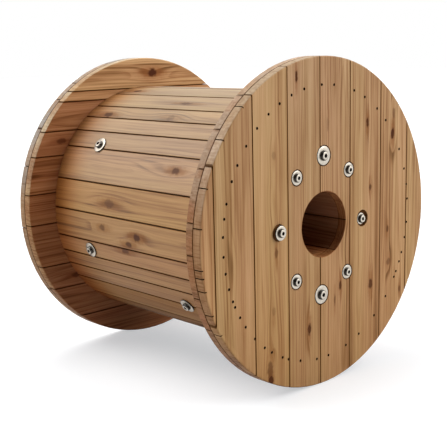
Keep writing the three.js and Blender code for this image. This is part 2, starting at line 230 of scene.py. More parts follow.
def pine_grain():
    """The figure of sawn pine: growth rings round a heart line, fibres, stains, and knots that push the
    rings aside. Point runs along the grain in X, across the plank in Y and through it in Z, in metres."""
    tree, given, result = node_group(
        "pine_grain",
        "Point Heart Seed Ring Swirl Push Knot Halo Tint Middle Half Seam Face Rim Up Bleach Figure",
        "Color Roughness Height Clean",
    )
    math_node = partial(calculate, tree)
    remap = partial(rescale, tree)
    stain = partial(mix_colours, tree)

    def vector_node(operation, first, second):
        return add_node(tree, "ShaderNodeVectorMath", {0: first, 1: second}, operation=operation).outputs[0]

    def blotches(stretch, detail, roughness=0.5, source=given["Point"]):
        """Noise over the plank, with its features 1/stretch metres long each way."""
        noise = add_node(tree, "ShaderNodeTexNoise", {
            "Vector": vector_node("MULTIPLY", source, stretch),
            "W": given["Seed"],
            "Scale": 1,
            "Detail": detail,
            "Roughness": roughness,
        }, noise_dimensions="4D")
        return noise.outputs["Fac"]

    wander = math_node("MULTIPLY_ADD", blotches((1.1, 5, 5), 1), 0.05, -0.025)
    drift = math_node("MULTIPLY_ADD", blotches((2.6, 14, 14), 1), 0.014, -0.007)
    drift = math_node("SUBTRACT", drift, given["Push"])
    off_heart = parts_of(tree, vector_node("SUBTRACT", given["Point"], given["Heart"]))
    sideways = math_node("ADD", off_heart["Y"], drift)
    inwards = math_node("ADD", off_heart["Z"], wander)
    radius = math_node("ADD", hypotenuse(tree, sideways, inwards), given["Swirl"])
    years = math_node("DIVIDE", radius, given["Ring"])
    year = math_node("FRACT", years)
    each_year = vector_of(tree, X=math_node("FLOOR", years), Y=given["Seed"])
    lot = add_node(tree, "ShaderNodeTexWhiteNoise", {"Vector": each_year}, noise_dimensions="2D")
    strength = remap(lot.outputs["Value"], 0, 1, 0.25, 1, "LINEAR")
    late = math_node("MULTIPLY", remap(year, 0.35, 0.86, 0, 1), remap(year, 0.9, 1, 1, 0))
    ring = math_node("MULTIPLY", late, strength)

    # The fibres bend as the rings do, and part round each knot.
    bent = vector_node("ADD", given["Point"], vector_of(tree, Y=drift))
    fibres = blotches((9, 420, 420), 3, 0.6, bent)
    lines = blotches((2.2, 180, 90), 1, 0.5, bent)
    streaks = blotches((1.0, 64, 30), 2, 0.5, bent)
    bands = blotches((0.6, 24, 9), 1, 0.5, bent)
    zones = blotches((0.5, 15, 6), 1, 0.5, bent)
    patches = blotches((3.5, 12, 6), 2)

    # Wood is redder and deeper in colour where it is darker.
    middle_tone = 0.52
    weights = ((fibres, 0.55), (lines, 0.85), (streaks, 0.8), (bands, 0.6), (patches, 0.55), (ring, -0.22))
    tone = middle_tone - sum(weight for noise, weight in weights[:-1]) / 2
    for noise, weight in weights:
        tone = math_node("MULTIPLY_ADD", noise, weight, tone)
    ring_at_knot = math_node("MULTIPLY", ring, remap(given["Swirl"], 0, 0.003, 0, 1))
    tone = math_node("MULTIPLY_ADD", ring_at_knot, -0.25, tone)
    contrast = math_node("SUBTRACT", tone, middle_tone)
    tone = math_node("MULTIPLY_ADD", contrast, given["Figure"], middle_tone)
    shades = shade_ramp(tree, tone, (
        (0, (0.170, 0.078, 0.022)),
        (0.25, (0.335, 0.165, 0.062)),
        (0.42, (0.450, 0.247, 0.105)),
        (0.55, (0.515, 0.303, 0.134)),
        (0.75, (0.590, 0.360, 0.170)),
        (1, (0.690, 0.448, 0.228)),
    ))
    colour = stain(remap(zones, 0.38, 0.62, 0, 1), shades, (0.99, 1.0, 0.97), "MULTIPLY")
    colour = stain(remap(zones, 0.62, 0.38, 0, 1), colour, (1.01, 0.975, 0.99), "MULTIPLY")
    colour = stain(remap(patches, 0.5, 0.7, 0, 1), colour, (1.0, 0.975, 0.99), "MULTIPLY")
    # Painted sheen: a pale colour mixed over the wood, used on the upper staves for the sheen of the light
    # from above.
    colour = stain(given["Bleach"], colour, (0.64, 0.52, 0.41))
    colour = stain(given["Halo"], colour, (0.285, 0.105, 0.034))
    colour = stain(given["Knot"], colour, (0.075, 0.021, 0.007))
    # Painted light: the wood goes warmer towards the bottom and paler and cooler towards the top, as the
    # light from above makes it.
    shaded_low_tint, lit_high_tint = (1, 0.955, 0.87), (1, 1.03, 1.10)
    painted_height_light = stain(remap(given["Up"], -0.45, 0.45, 0, 1, "LINEAR"), shaded_low_tint, lit_high_tint)
    tinted = vector_node("MULTIPLY", vector_node("MULTIPLY", colour, painted_height_light), given["Tint"])

    place = parts_of(tree, given["Point"])
    off_middle = math_node("ABSOLUTE", math_node("SUBTRACT", place["Y"], given["Middle"]))
    to_joint = math_node("SUBTRACT", given["Half"], off_middle)
    to_seam = math_node("ABSOLUTE", math_node("SUBTRACT", place["Z"], given["Seam"]))
    sunk = math_node("ABSOLUTE", math_node("SUBTRACT", place["Z"], given["Face"]))
    from_axis = hypotenuse(tree, place["X"], place["Y"])
    round_axis = math_node("ARCTAN2", place["X"], place["Y"])
    on_flange = math_node("GREATER_THAN", given["Rim"], 0)

    # The rims are greyer and paler above and browner below, and painted shade darkens their lowest part,
    # which faces the floor. Their colour also differs by layer and by height.
    on_rim = remap(from_axis, flange_radius - 0.0016, flange_radius - 0.0008, 0, 1)
    on_rim = math_node("MULTIPLY", on_rim, on_flange)
    on_rim = math_node("MULTIPLY", on_rim, remap(patches, 0.38, 0.62, 0.45, 1))
    rim_colour_and_shade = stain(remap(given["Up"], -0.05, 0.3, 0, 1), (0.42, 0.25, 0.135), (0.56, 0.46, 0.37))
    back_inner, front_inner, back_outer = (1.15, 1.11, 0.94), (0.79, 0.70, 0.62), (0.73, 0.82, 0.93)
    layer = stain(math_node("GREATER_THAN", given["Face"], 0), back_inner, front_inner)
    layer = stain(math_node("LESS_THAN", given["Face"], -layer_seam), layer, back_outer)
    front_outer = stain(remap(given["Up"], 0.12, 0.3, 0, 1), (0.87, 0.79, 0.70), (1.12, 1.05, 1.00))
    front_outer = stain(remap(given["Up"], 0.25, 0.38, 0, 1), front_outer, (0.83, 0.74, 0.60))
    layer = stain(math_node("GREATER_THAN", given["Face"], layer_seam), layer, front_outer)
    rim_colour_and_shade = vector_node("MULTIPLY", rim_colour_and_shade, layer)
    # Painted shade: the lowest part of each rim goes much darker.
    rim_colour_and_shade = stain(remap(given["Up"], -0.22, -0.42, 0, 0.6), rim_colour_and_shade, (0.15, 0.070, 0.030))
    rim_colour_and_shade = stain(remap(lines, 0.35, 0.65, 0.6, 0), rim_colour_and_shade, (0.72, 0.64, 0.56), "MULTIPLY")
    # The saw has left darker marks across the rim, which show most below.
    round_rim = vector_of(tree, X=round_axis, Y=place["Z"])
    saw_marks = remap(blotches((75, 14, 1), 2, 0.6, round_rim), 0.46, 0.62, 0, 1)
    saw_marks = math_node("MULTIPLY", saw_marks, remap(given["Up"], 0.0, 0.25, 0.8, 0.25))
    rim_colour_and_shade = stain(saw_marks, rim_colour_and_shade, (0.50, 0.37, 0.27), "MULTIPLY")
    colour = stain(on_rim, tinted, rim_colour_and_shade)

    # The wall of the bore is darker, and its bottom, which faces up, is painted lighter, as painted light
    # from above. The lining's joints run on through it.
    to_lining_joint = math_node("PINGPONG", round_axis, math.pi / 6)
    lowness = math_node("DIVIDE", place["X"], from_axis)
    bore_wall_tone_and_light = stain(remap(lowness, -0.84, -0.89, 0, 1), (0.68, 0.49, 0.39), (0.90, 0.66, 0.50))
    bore_wall_tone_and_light = stain(remap(to_lining_joint, 0.008, 0.022, 1, 0), bore_wall_tone_and_light, (0.05, 0.03, 0.02))
    on_bore = remap(from_axis, bore_radius + 0.0025, bore_radius + 0.0008, 0, 1)
    colour = stain(math_node("MULTIPLY", on_bore, on_flange), colour, bore_wall_tone_and_light, "MULTIPLY")

    # Dirt lies along the joints and seams. Painted shade darkens what is sunk below a face, such as a
    # counterbore, the walls of a joint or a nail hole.
    off_rim = math_node("SUBTRACT", 1, on_rim)
    soaked = math_node("MULTIPLY", remap(to_joint, 0.0012, 0.0040, 0.5, 0), off_rim)
    colour = stain(soaked, colour, (0.95, 0.79, 0.52), "MULTIPLY")
    mostly_off_rim = math_node("MULTIPLY_ADD", on_rim, -0.3, 1)
    joint_dirt = math_node("MULTIPLY", remap(to_joint, 0.0006, 0.0018, 0.97, 0), mostly_off_rim)
    dirt = math_node("MAXIMUM", joint_dirt, remap(to_seam, 0.0008, 0.0030, 0.97, 0))
    dirt = math_node("MULTIPLY", dirt, remap(streaks, 0.3, 0.6, 0.75, 1))
    colour = stain(dirt, colour, (0.060, 0.019, 0.004))
    inside_rim = math_node("LESS_THAN", from_axis, given["Rim"])
    between = math_node("MULTIPLY", inside_rim, math_node("GREATER_THAN", from_axis, bore_radius + 0.004))
    sunk_shade = math_node("MULTIPLY", remap(sunk, 0.0008, 0.0025, 0, 0.9), between)
    colour = stain(sunk_shade, colour, (0.16, 0.060, 0.018))

    # Dirt, the painted shade below faces, and knots have little sheen.
    dull = math_node("MAXIMUM", math_node("MAXIMUM", dirt, soaked), sunk_shade)
    dull = math_node("MAXIMUM", dull, remap(given["Halo"], 0, 0.5, 0, 0.6))
    relief = math_node("MULTIPLY_ADD", fibres, 0.5, math_node("MULTIPLY", ring, 0.6))
    set_inputs(tree, result, {
        "Color": colour,
        "Roughness": remap(fibres, 0.3, 0.7, 0.6, 0.5, "LINEAR"),
        "Height": math_node("SUBTRACT", relief, math_node("MULTIPLY", given["Knot"], 0.5)),
        "Clean": math_node("SUBTRACT", 1, dull),
    })
    return tree


def pine_knot():
    """One knot. Centre is where it comes out of the plank, Size its radius, and Length how far it is drawn
    out along the grain."""
    inputs = "Point Centre Size Length Darkness"
    tree, given, result = node_group("pine_knot", inputs, "Swirl Push Knot Halo")
    math_node = partial(calculate, tree)
    fade = partial(rescale, tree, to_high=0)
    away = add_node(tree, "ShaderNodeVectorMath", {0: given["Point"], 1: given["Centre"]},
                    operation="SUBTRACT")
    parts = parts_of(tree, away.outputs[0])
    along = math_node("DIVIDE", math_node("DIVIDE", parts["X"], given["Size"]), given["Length"])
    across = math_node("DIVIDE", parts["Y"], given["Size"])
    noise = add_node(tree, "ShaderNodeTexNoise", {"Vector": given["Point"], "Scale": 70, "Detail": 2})
    ragged = math_node("MULTIPLY_ADD", noise.outputs["Fac"], 0.9, -0.45)
    distance = math_node("ADD", hypotenuse(tree, along, across), ragged)
    eye = hypotenuse(tree, math_node("MULTIPLY", along, 0.45), across)
    plume = math_node("ADD", eye, ragged)
    set_inputs(tree, result, {
        "Knot": math_node("MULTIPLY", fade(distance, 0.55, 1.15, 1), given["Darkness"]),
        "Halo": math_node("MULTIPLY", fade(plume, 0.5, 1.9, 0.62), given["Darkness"]),
        "Swirl": math_node("MULTIPLY", fade(eye, 0, 3.2, 0.5), given["Size"]),
        "Push": math_node("MULTIPLY", parts["Y"], fade(eye, 0, 3.2, 0.6)),
    })
    return tree


grain_group = pine_grain()
knot_group = pine_knot()
far_off = 9  # where the joint, seam or face lies that a plank does not have


def new_material(name):
    """A new material, with its node tree and its shader."""
    material = bpy.data.materials.new(name)
    material.use_nodes = True
    return material, material.node_tree, material.node_tree.nodes["Principled BSDF"]


def pine(name, along, across, through, heart, seed, joints, seam=far_off, face=far_off, rim=0, ring=0.007,
         tint=(1, 1, 1), shine=0.12, knots=(), turn=0.0, bleach=0.0, figure=1.0, painted_end_shade=None):
    """A plank's own wood. along, across and through name the axes of the plank's grain, width and
    thickness, after a turn about the drum's axis. Dirt has darkened its long edges at joints and its edge at
    seam, where it meets the next layer, and painted shade darkens whatever lies below face, up to rim. Each
    knot is (along, across, size, length, darkness). A plank with an end colour goes towards that colour near
    the back flange, as painted shade where the barrel meets that flange. Its sheen amount paints a pale
    colour over it, as painted sheen."""
    wood, tree, shader = new_material(name)
    place = add_node(tree, "ShaderNodeTexCoord").outputs["Object"]
    lies = parts_of(tree, place)
    about_axis = add_node(tree, "ShaderNodeMapping", {
        "Vector": place,
        "Location": (0, 0, axis_height),
        "Rotation": (turn, 0, 0),
    }, vector_type="TEXTURE")
    axes = parts_of(tree, about_axis.outputs[0])
    point = vector_of(tree, X=axes[along], Y=axes[across], Z=axes[through])
    effects = {}
    for knot_along, knot_across, size, length, darkness in knots:
        knot = add_node(tree, "ShaderNodeGroup", {
            "Point": point,
            "Centre": (knot_along, knot_across, 0),
            "Size": size,
            "Length": length,
            "Darkness": darkness,
        }, node_tree=knot_group).outputs
        for effect, join in (("Swirl", "ADD"), ("Push", "ADD"), ("Knot", "MAXIMUM"), ("Halo", "MAXIMUM")):
            if effect in effects:
                effects[effect] = calculate(tree, join, effects[effect], knot[effect])
            else:
                effects[effect] = knot[effect]
    grain = add_node(tree, "ShaderNodeGroup", {
        "Point": point,
        "Heart": heart,
        "Seed": seed,
        "Ring": ring,
        "Tint": tint,
        "Middle": sum(joints) / 2,
        "Half": (joints[1] - joints[0]) / 2,
        "Seam": seam,
        "Face": face,
        "Rim": rim,
        "Up": calculate(tree, "SUBTRACT", lies["Z"], axis_height),
        "Bleach": bleach,
        "Figure": figure,
        **effects,
    }, node_tree=grain_group).outputs
    colour = grain["Color"]
    if painted_end_shade:
        # Painted shade: near the back flange the plank goes towards the end colour, where the barrel meets
        # that flange.
        near_back = rescale(tree, lies["X"], -0.22, -0.40, 0, 1)
        colour = mix_colours(tree, near_back, colour, painted_end_shade, "MULTIPLY")
    relief = add_node(tree, "ShaderNodeBump", {
        "Height": grain["Height"],
        "Strength": 0.5,
        "Distance": 0.0006,
    })
    # The socket keeps the whole of the shine as well, for a copy that has no room for the dull spots.
    shader.inputs["Specular IOR Level"].default_value = shine
    set_inputs(tree, shader, {
        "Base Color": colour,
        "Roughness": grain["Roughness"],
        "Specular IOR Level": calculate(tree, "MULTIPLY", grain["Clean"], shine),
        "Specular Tint": (1, 1, 1, 1) if shine > 0.3 else (1, 0.8, 0.6, 1),
        "Normal": relief.outputs[0],
    })
    return wood


def take_up(piece):
    """Makes a piece the active one, and the only one that is selected."""
    bpy.ops.object.select_all(action="DESELECT")
    piece.select_set(True)
    bpy.context.view_layer.objects.active = piece


def round_edges(piece, width, smooth=20):
    """Takes off a piece's sharp edges and smooths what bends by less than the angle."""
    rounding = piece.modifiers.new("rounding", "BEVEL")
    rounding.width = width
    rounding.segments = 2
    rounding.limit_method = "ANGLE"
    rounding.angle_limit = math.radians(40)
    bpy.ops.object.modifier_apply(modifier=rounding.name)
    bpy.ops.object.shade_smooth_by_angle(angle=math.radians(smooth))


def cut(piece, cutter, smooth=20, faces="INDEX"):
    """Takes the cutter out of a piece. The new faces get a material by its number, or the cutter's own."""
    hole = piece.modifiers.new("hole", "BOOLEAN")
    hole.operation = "DIFFERENCE"
    hole.object = cutter
    hole.material_mode = faces
    bpy.ops.object.modifier_apply(modifier=hole.name)
    bpy.ops.object.shade_smooth_by_angle(angle=math.radians(smooth))


def repeated(add, name, places, **shape):
    """One piece made of the same shape at every place, left in edit mode."""
    piece = primitive(add, name, location=places[0], **shape)
    bpy.ops.object.mode_set(mode="EDIT")
    for place in places[1:]:
        add(location=place, **shape)
    return piece


def planed(node, name, arris=0.0009):
    """The wood of one CAD node, with clean faces and its arrises taken off."""
    piece = bpy.data.objects.new(name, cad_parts[node].data.copy())
    piece.data.name = name
    piece.data.materials.clear()
    scene.collection.objects.link(piece)
    take_up(piece)
    bpy.ops.object.mode_set(mode="EDIT")
    bpy.ops.mesh.select_all(action="SELECT")
    bpy.ops.mesh.remove_doubles(threshold=1e-5)
    bpy.ops.mesh.dissolve_limited(angle_limit=math.radians(0.5))
    bpy.ops.object.mode_set(mode="OBJECT")
    round_edges(piece, arris)
    return piece


def heart_line(middle, depth, wander):
    """Where the heart of the log ran past a plank: near its middle, and well in front of it or behind."""
    aside = middle + random.uniform(-wander, wander)
    return 0, aside, depth + random.choice((-1, 1)) * random.uniform(0.04, 0.09)


# Painted shade: the walls of the nail holes and of the rim's splits are near black.
hole_shade, tree, shader = new_material("hole_shade")
place = add_node(tree, "ShaderNodeTexCoord").outputs["Object"]
mottle = add_node(tree, "ShaderNodeTexNoise", {"Vector": place, "Scale": 400}).outputs["Fac"]
set_inputs(tree, shader, {
    "Base Color": shade_ramp(tree, mottle, ((0, (0.010, 0.003, 0.001)), (1, (0.045, 0.014, 0.004)))),
    "Roughness": 0.8,
    "Specular IOR Level": 0.05,
})

# Knots as (z, y, size, length, darkness), from the drum's axis. One of no darkness lies under the face, and
# only bends the grain.
upright_knots = {
    "front": (
        (0.444, -0.119, 0.006, 3.2, 0.95), (0.292, 0.205, 0.0075, 2.2, 0.9),
        (0.247, 0.333, 0.010, 1.9, 1.0), (-0.170, 0.317, 0.011, 1.2, 0.5),
        (-0.228, 0.225, 0.010, 2.0, 0.85), (-0.204, 0.075, 0.0075, 2.0, 0.85),
        (-0.244, 0.049, 0.004, 5, 0.6), (-0.315, -0.069, 0.009, 2.3, 0.9),
        (-0.055, -0.209, 0.007, 2.4, 0.55), (-0.400, -0.240, 0.014, 2.2, 0.55),
        (0.310, 0.338, 0.008, 2.4, 0.45), (0.227, -0.216, 0.010, 1.3, 0.25), (0.300, 0.017, 0.006, 4, 0.3),
        (-0.059, 0.311, 0.006, 2.4, 0.7), (-0.224, -0.223, 0.009, 1.6, 0.25),
        (0.088, 0.221, 0.007, 1.8, 0.75), (-0.275, 0.379, 0.006, 2.2, 0.6),
        (-0.432, -0.238, 0.013, 1.3, 0.95), (-0.300, -0.223, 0.013, 1.2, 0.0),
        (0.100, -0.215, 0.012, 1.6, 0.0), (-0.090, 0.110, 0.011, 1.8, 0.0),
        (-0.060, -0.385, 0.010, 2.0, 0.0),
    ),
    "back": (
        (-0.10, -0.47, 0.009, 2.0, 0.8), (0.26, -0.35, 0.013, 1.8, 0.9), (-0.21, -0.38, 0.010, 1.8, 0.7),
        (-0.05, -0.21, 0.011, 1.8, 0.6), (0.37, -0.07, 0.014, 1.8, 1.0), (-0.33, 0.09, 0.012, 1.9, 0.9),
        (0.30, 0.04, 0.008, 2.2, 0.5), (0.13, 0.21, 0.013, 1.6, 0.8), (-0.18, 0.35, 0.010, 2.0, 0.9),
        (0.32, 0.33, 0.011, 1.8, 0.6), (0.05, 0.46, 0.008, 2.0, 0.7),
    ),
}

# The nails stand in a ring near the rim, at these angles from the right-hand side, anticlockwise.
nail_ring = 0.417
nail_angles = {
    "front": (
        3.6, 10.4, 17.9, 27.8, 44.6, 52.8, 62.8, 70.5, 83.7, 91.3, 101.9, 109.5, 116.9, 124.1, 132.1, 140.7,
        149, 155.5, 164.1, 169.8, 176.6, 184.2, 190.9, 197.4, 202.9, 205.5, 210.8, 216.1, 223.8, 231.1,
        236.1, 243.3, 247.1, 254.7, 265.1, 272.6, 284.3, 293.7, 306, 316.9, 326.9, 329.7, 334.4, 338.8,
        345.8, 352.8,
    ),
    "back": (
        1.2, 9.0, 16.4, 25.1, 33.8, 47.2, 58.5, 67.9, 76.2, 86.8, 95.5, 104.1, 112.4, 120.8, 128.9, 137.5,
        146.2, 153.1, 160.6, 168.4, 175.2, 183.9, 192.2, 199.7, 207.6, 214.8, 222.3, 229.9, 238.6, 246.4,
        254.9, 262.5, 271.8, 281.4, 290.2, 299.6, 308.8, 317.3, 325.2, 333.7, 341.1, 349.6,
    ),
}
# Drying splits across the rim of the upright boards, as (y, z).
rim_splits = {
    "front": (
        (-0.334, 0.372), (-0.409, 0.288), (-0.472, 0.164), (-0.497, 0.058), (-0.497, -0.056),
        (-0.494, -0.079), (-0.486, -0.117), (-0.463, -0.189), (-0.432, -0.251), (0.488, 0.109),
        (0.431, -0.253), (0.366, 0.341),
    ),
    "back": (
        (-0.337, 0.369), (-0.475, 0.156), (-0.497, -0.050), (0.466, 0.181), (0.401, -0.299), (0.497, -0.055),
    ),
}
# What cuts a split goes through the layer and stands out of the rim. Its sides are along the axis, along the
# radius and round the rim.
split_size = (outer_face - layer_seam + 0.001, 0.010, 0.0032)
split_radius = flange_radius - 0.001
nail_hole_radius = 0.0044
nail_hole_depth = 0.006


def nail_places(side, x):
    """Where the nails of one flange stand, at x."""
    turns = [math.radians(degrees) for degrees in nail_angles[side]]
    return [(x, nail_ring * math.cos(turn), axis_height + nail_ring * math.sin(turn)) for turn in turns]


def holes_and_splits(side):
    """What is cut out of one layer of upright boards."""
    cutter = repeated(
        bpy.ops.mesh.primitive_cylinder_add, f"{side}_holes", nail_places(side, facing[side] * outer_face),
        vertices=12, radius=nail_hole_radius, depth=2 * nail_hole_depth, rotation=(0, math.pi / 2, 0),
    )
    x = facing[side] * (layer_seam + outer_face) / 2
    for y, z in rim_splits[side]:
        angle = math.atan2(z, y)
        place = (x, split_radius * math.cos(angle), axis_height + split_radius * math.sin(angle))
        bpy.ops.mesh.primitive_cube_add(size=1, rotation=(angle, 0, 0), scale=split_size, location=place)
    bpy.ops.object.mode_set(mode="OBJECT")
    cutter.data.materials.append(hole_shade)
    return cutter


# How light each board is, and how strong its figure.
board_shades = {
    "front": (0.94, 0.92, 0.96, 0.91, 0.94, 0.94, 0.97, 0.99),
    "back": (1.0, 0.96, 1.02, 0.94, 1.0, 0.97, 1.03, 0.95),
}
board_figures = (0.82, 0.82, 0.68, 0.85, 0.85, 0.88, 0.9, 0.9)

random.seed(5)
for side, outside in facing.items():
    cutter = holes_and_splits(side)
    for number, figure in enumerate(board_figures, 1):
        node = f"{side}_outer_board_{number}"
        board = planed(node, f"{side}_upright_board_{number}")
        low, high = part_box(node)
        heart = heart_line((low.y + high.y) / 2, low.x, 0.05)
        shade = random.uniform(0.97, 1.04) * board_shades[side][number - 1]
        joints = (-far_off if number == 1 else low.y, far_off if number == len(board_figures) else high.y)
        board.data.materials.append(pine(
            f"{side}_upright_pine_{number}", "Z", "Y", "X", heart, random.uniform(0, 40), joints,
            outside * layer_seam, outside * outer_face, sunk_shade_rim, ring=random.uniform(0.0055, 0.009),
            tint=(shade, shade * random.uniform(0.995, 1.025), shade * random.uniform(1.01, 1.08)),
            knots=[knot for knot in upright_knots[side] if low.y < knot[1] < high.y], figure=figure,
        ))
        cut(board, cutter, faces="TRANSFER")
        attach(board, "root")
        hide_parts(node)
    bpy.data.objects.remove(cutter)


# ---- Level boards of both flanges ----
# Pine boards of mixed widths, 30 mm thick, that make the inner layer of each flange, on the barrel's side.
# They cross the upright boards, and two of them stop at the bore's lining.

level_knots = {
    ("back", "10"): [(0.038, 0.447, 0.017, 1.3, 1.0)],
    ("back", "7"): [(-0.36, 0.232, 0.010, 2.0, 0.6)],
    ("back", "3"): [(-0.33, -0.235, 0.010, 2.0, 0.6)],
    ("back", "6"): [(0.43, 0.12, 0.011, 2.0, 0.8)],
    ("front", "7"): [(0.40, 0.26, 0.011, 2.0, 0.8)],
    ("front", "9"): [(-0.12, 0.45, 0.012, 2.0, 0.8)],
    ("front", "2"): [(0.10, -0.43, 0.012, 2.0, 0.8)],
}

# The lower boards are painted darker and redder with painted shade, and the top ones lighter, in two
# stages. Each starts at a height above the axis, and is complete so far below that.
shade_stages = ((0.455, 0.15), (0.0, 0.25))
# Red, green and blue of a board that is lit, half shaded and fully shaded.
shade_tints = ((1.20, 0.70, 0.73), (1.15, 0.48, 0.54), (1.14, 0.42, 0.60))
inner_face, level_seam = (corner.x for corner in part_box("front_inner_board_2"))

for side, outside in facing.items():
    start = f"{side}_inner_board_"
    for node in sorted(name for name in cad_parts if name.startswith(start)):
        label = node.removeprefix(start)
        board = planed(node, f"{side}_level_board_{label}")
        low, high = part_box(node)
        bottom, top = low.z - axis_height, high.z - axis_height
        middle = (bottom + top) / 2
        heart = heart_line(middle, low.x, 0.04)
        half_shaded, fully_shaded = (min(1, max(0, (level - middle) / depth)) for level, depth in shade_stages)
        shade = random.uniform(0.96, 1.04)
        tint = [
            shade * (unshaded + (half - unshaded) * half_shaded + (deep_shade - half) * fully_shaded)
            for unshaded, half, deep_shade in shade_tints
        ]
        joints = (bottom if low.z > 0.01 else -far_off, top if high.z < 0.99 else far_off)
        board.data.materials.append(pine(
            f"{side}_level_pine_{label}", "Y", "Z", "X", heart, random.uniform(0, 40), joints,
            outside * level_seam, outside * inner_face, sunk_shade_rim, ring=random.uniform(0.005, 0.008),
            tint=tint, knots=level_knots.get((side, label), ()),
        ))
        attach(board, "root")
        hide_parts(node)


# ---- Barrel staves ----
# Pine staves of mixed widths, turned round on the outside and bolted to the formers inside. Each runs from
# flange to flange, with a narrow gap to the next.

barrel_low, barrel_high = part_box("barrel_staves")
barrel_radius = 0.4
stave_thickness = 0.028
stave_gap = 0.003
stave_step = 1.6  # degrees to each facet of a stave
first_joint = 108.9  # degrees round the axis, counted as for the nails
stave_widths = (
    86, 58, 60, 64, 113, 100, 96, 58, 54, 60,
    96, 58, 86, 60, 113, 64, 100, 58, 96, 60, 86,
    58, 113, 60, 100, 64, 96, 58, 86, 60, 96, 96,
)
# Knots as (x, degrees round the axis, size, length, darkness).
stave_knots = (
    (-0.309, 104.0, 0.010, 2.2, 0.9),
    (0.038, 116.0, 0.008, 4.0, 0.6),
    (-0.284, 127.5, 0.013, 1.8, 0.8),
    (0.041, 127.0, 0.013, 1.5, 0.35),
    (0.194, 153.6, 0.012, 1.6, 0.75),
    (0.105, 152.6, 0.014, 1.6, 0.0),
    (-0.090, 172.0, 0.016, 1.6, 0.5),
    (-0.129, 183.6, 0.012, 1.4, 0.6),
    (0.048, 185.0, 0.014, 1.3, 0.9),
    (0.002, 189.0, 0.010, 1.8, 0.8),
    (-0.024, 192.7, 0.010, 2.0, 0.7),
    (0.150, 236.0, 0.012, 1.8, 0.9),
    (-0.220, 258.0, 0.011, 1.8, 0.8),
    (0.070, 283.0, 0.014, 1.5, 1.0),
    (-0.130, 312.0, 0.012, 1.9, 0.8),
    (0.230, 333.0, 0.010, 2.2, 0.7),
    (-0.060, 357.0, 0.013, 1.6, 0.9),
    (0.120, 21.0, 0.012, 1.7, 0.8),
    (-0.260, 44.0, 0.010, 2.3, 0.7),
    (0.020, 67.0, 0.013, 1.8, 0.9),
    (-0.150, 88.0, 0.009, 2.6, 0.6),
)

# How light and how blue a stave is, for those that differ from their neighbours.
stave_tones = {
    1: (0.90, 0.93), 2: (1.0, 0.92), 4: (0.99, 1.06), 5: (1.04, 1.05), 6: (0.93, 0.90), 8: (1.03, 1.04),
    10: (0.96, 0.94), 11: (0.98, 0.94), 31: (0.88, 0.90), 32: (0.91, 0.92),
}

angle = math.radians(first_joint)
for number, width in enumerate(stave_widths, 1):
    sweep = 2 * math.pi * width / sum(stave_widths)
    start = angle + stave_gap / 2 / barrel_radius
    turned = sweep - stave_gap / barrel_radius
    stave = primitive(
        bpy.ops.mesh.primitive_plane_add, f"stave_{number}", size=1,
        location=(0, barrel_radius - stave_thickness / 2, axis_height),
        scale=(barrel_high.x - barrel_low.x, stave_thickness, 1),
    )
    bpy.ops.object.mode_set(mode="EDIT")
    bpy.ops.mesh.select_all(action="SELECT")
    bpy.ops.transform.rotate(value=-start, orient_axis="X", center_override=(0, 0, axis_height))
    steps = max(3, round(math.degrees(turned) / stave_step))
    bpy.ops.mesh.spin(steps=steps, angle=-turned, axis=(1, 0, 0), center=(0, 0, axis_height))
    bpy.ops.mesh.select_all(action="SELECT")
    bpy.ops.mesh.remove_doubles(threshold=1e-5)
    bpy.ops.mesh.normals_make_consistent(inside=False)
    bpy.ops.object.mode_set(mode="OBJECT")
    round_edges(stave, 0.0008)
    middle = angle + sweep / 2
    knots = []
    for along, degrees, size, length, darkness in stave_knots:
        off = math.remainder(math.radians(degrees) - middle, 2 * math.pi)
        if abs(off) < sweep / 2:
            knots.append((along, -off * barrel_radius, size, length, darkness))
    heart = heart_line(0, barrel_radius, 0.03)
    # height is 1 for the uppermost stave and -1 for the lowest.
    height = math.sin(middle)
    # Painted shade: staves go darker towards the barrel's underside, which faces the floor, a little darker
    # at the very top, and warmer in colour downwards.
    shade = random.uniform(0.82, 0.89) * (1 - 0.22 * height ** 2 - 0.5 * max(0, -height) ** 3)
    lightness, blueness = stave_tones.get(number, (1, 1))
    shade *= lightness
    half_width = turned / 2 * barrel_radius
    stave.data.materials.append(pine(
        f"stave_pine_{number}", "X", "Y", "Z", heart, random.uniform(0, 40), (-half_width, half_width),
        ring=random.uniform(0.0055, 0.009), knots=knots, turn=middle - math.pi / 2,
        tint=(shade, shade * (0.90 + 0.09 * height), shade * blueness * (0.73 + 0.15 * height)),
        shine=min(0.5, max(0.05, 1.5 + 2 * height)), bleach=0.25 if height > 0.3 else 0.05,
        figure=0.92 + 0.31 * height, painted_end_shade=(0.98, 0.65, 0.34 + 0.26 * max(0, -height)),
    ))
    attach(stave, "root")
    if number == 1:
        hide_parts("barrel_staves")
    angle += sweep


# ---- Bore lining ----
# Six rough-sawn staves that line the hole for the spindle, from one flange's outer boards to the other's.
# All but the lowest are darker. The lowest, which faces up, is painted lighter, as painted light from above.

lit_lowest_tint, darker_lining_tint = (0.95, 0.69, 0.60), (0.50, 0.385, 0.42)
half_width = 0.0495
for number in range(1, 7):
    node = f"bore_stave_{number}"
    lining = planed(node, f"bore_lining_{number}", 0.001)
    lining.data.materials.append(pine(
        f"bore_pine_{number}", "X", "Y", "Z", (0, 0.03, 0.05), 50 + number, (-half_width, half_width),
        ring=0.006, tint=lit_lowest_tint if number == 5 else darker_lining_tint, turn=math.radians(60 * number - 120), shine=0.05,
    ))
    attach(lining, "root")
    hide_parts(node)


# ---- Formers ----
# Two rings of sawn pine inside the barrel, which the staves are bolted to. They are shut in, so they keep
# the solids' own shape and only get their wood.

for side in facing:
    former_pine = pine(f"former_pine_{side}", "Y", "Z", "X", (0, 0.12, 0.3), 60, (-far_off, far_off),
                       ring=0.008, tint=(0.85, 0.8, 0.75))
    for material_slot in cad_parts[f"former_{side}"].material_slots:
        material_slot.material = former_pine


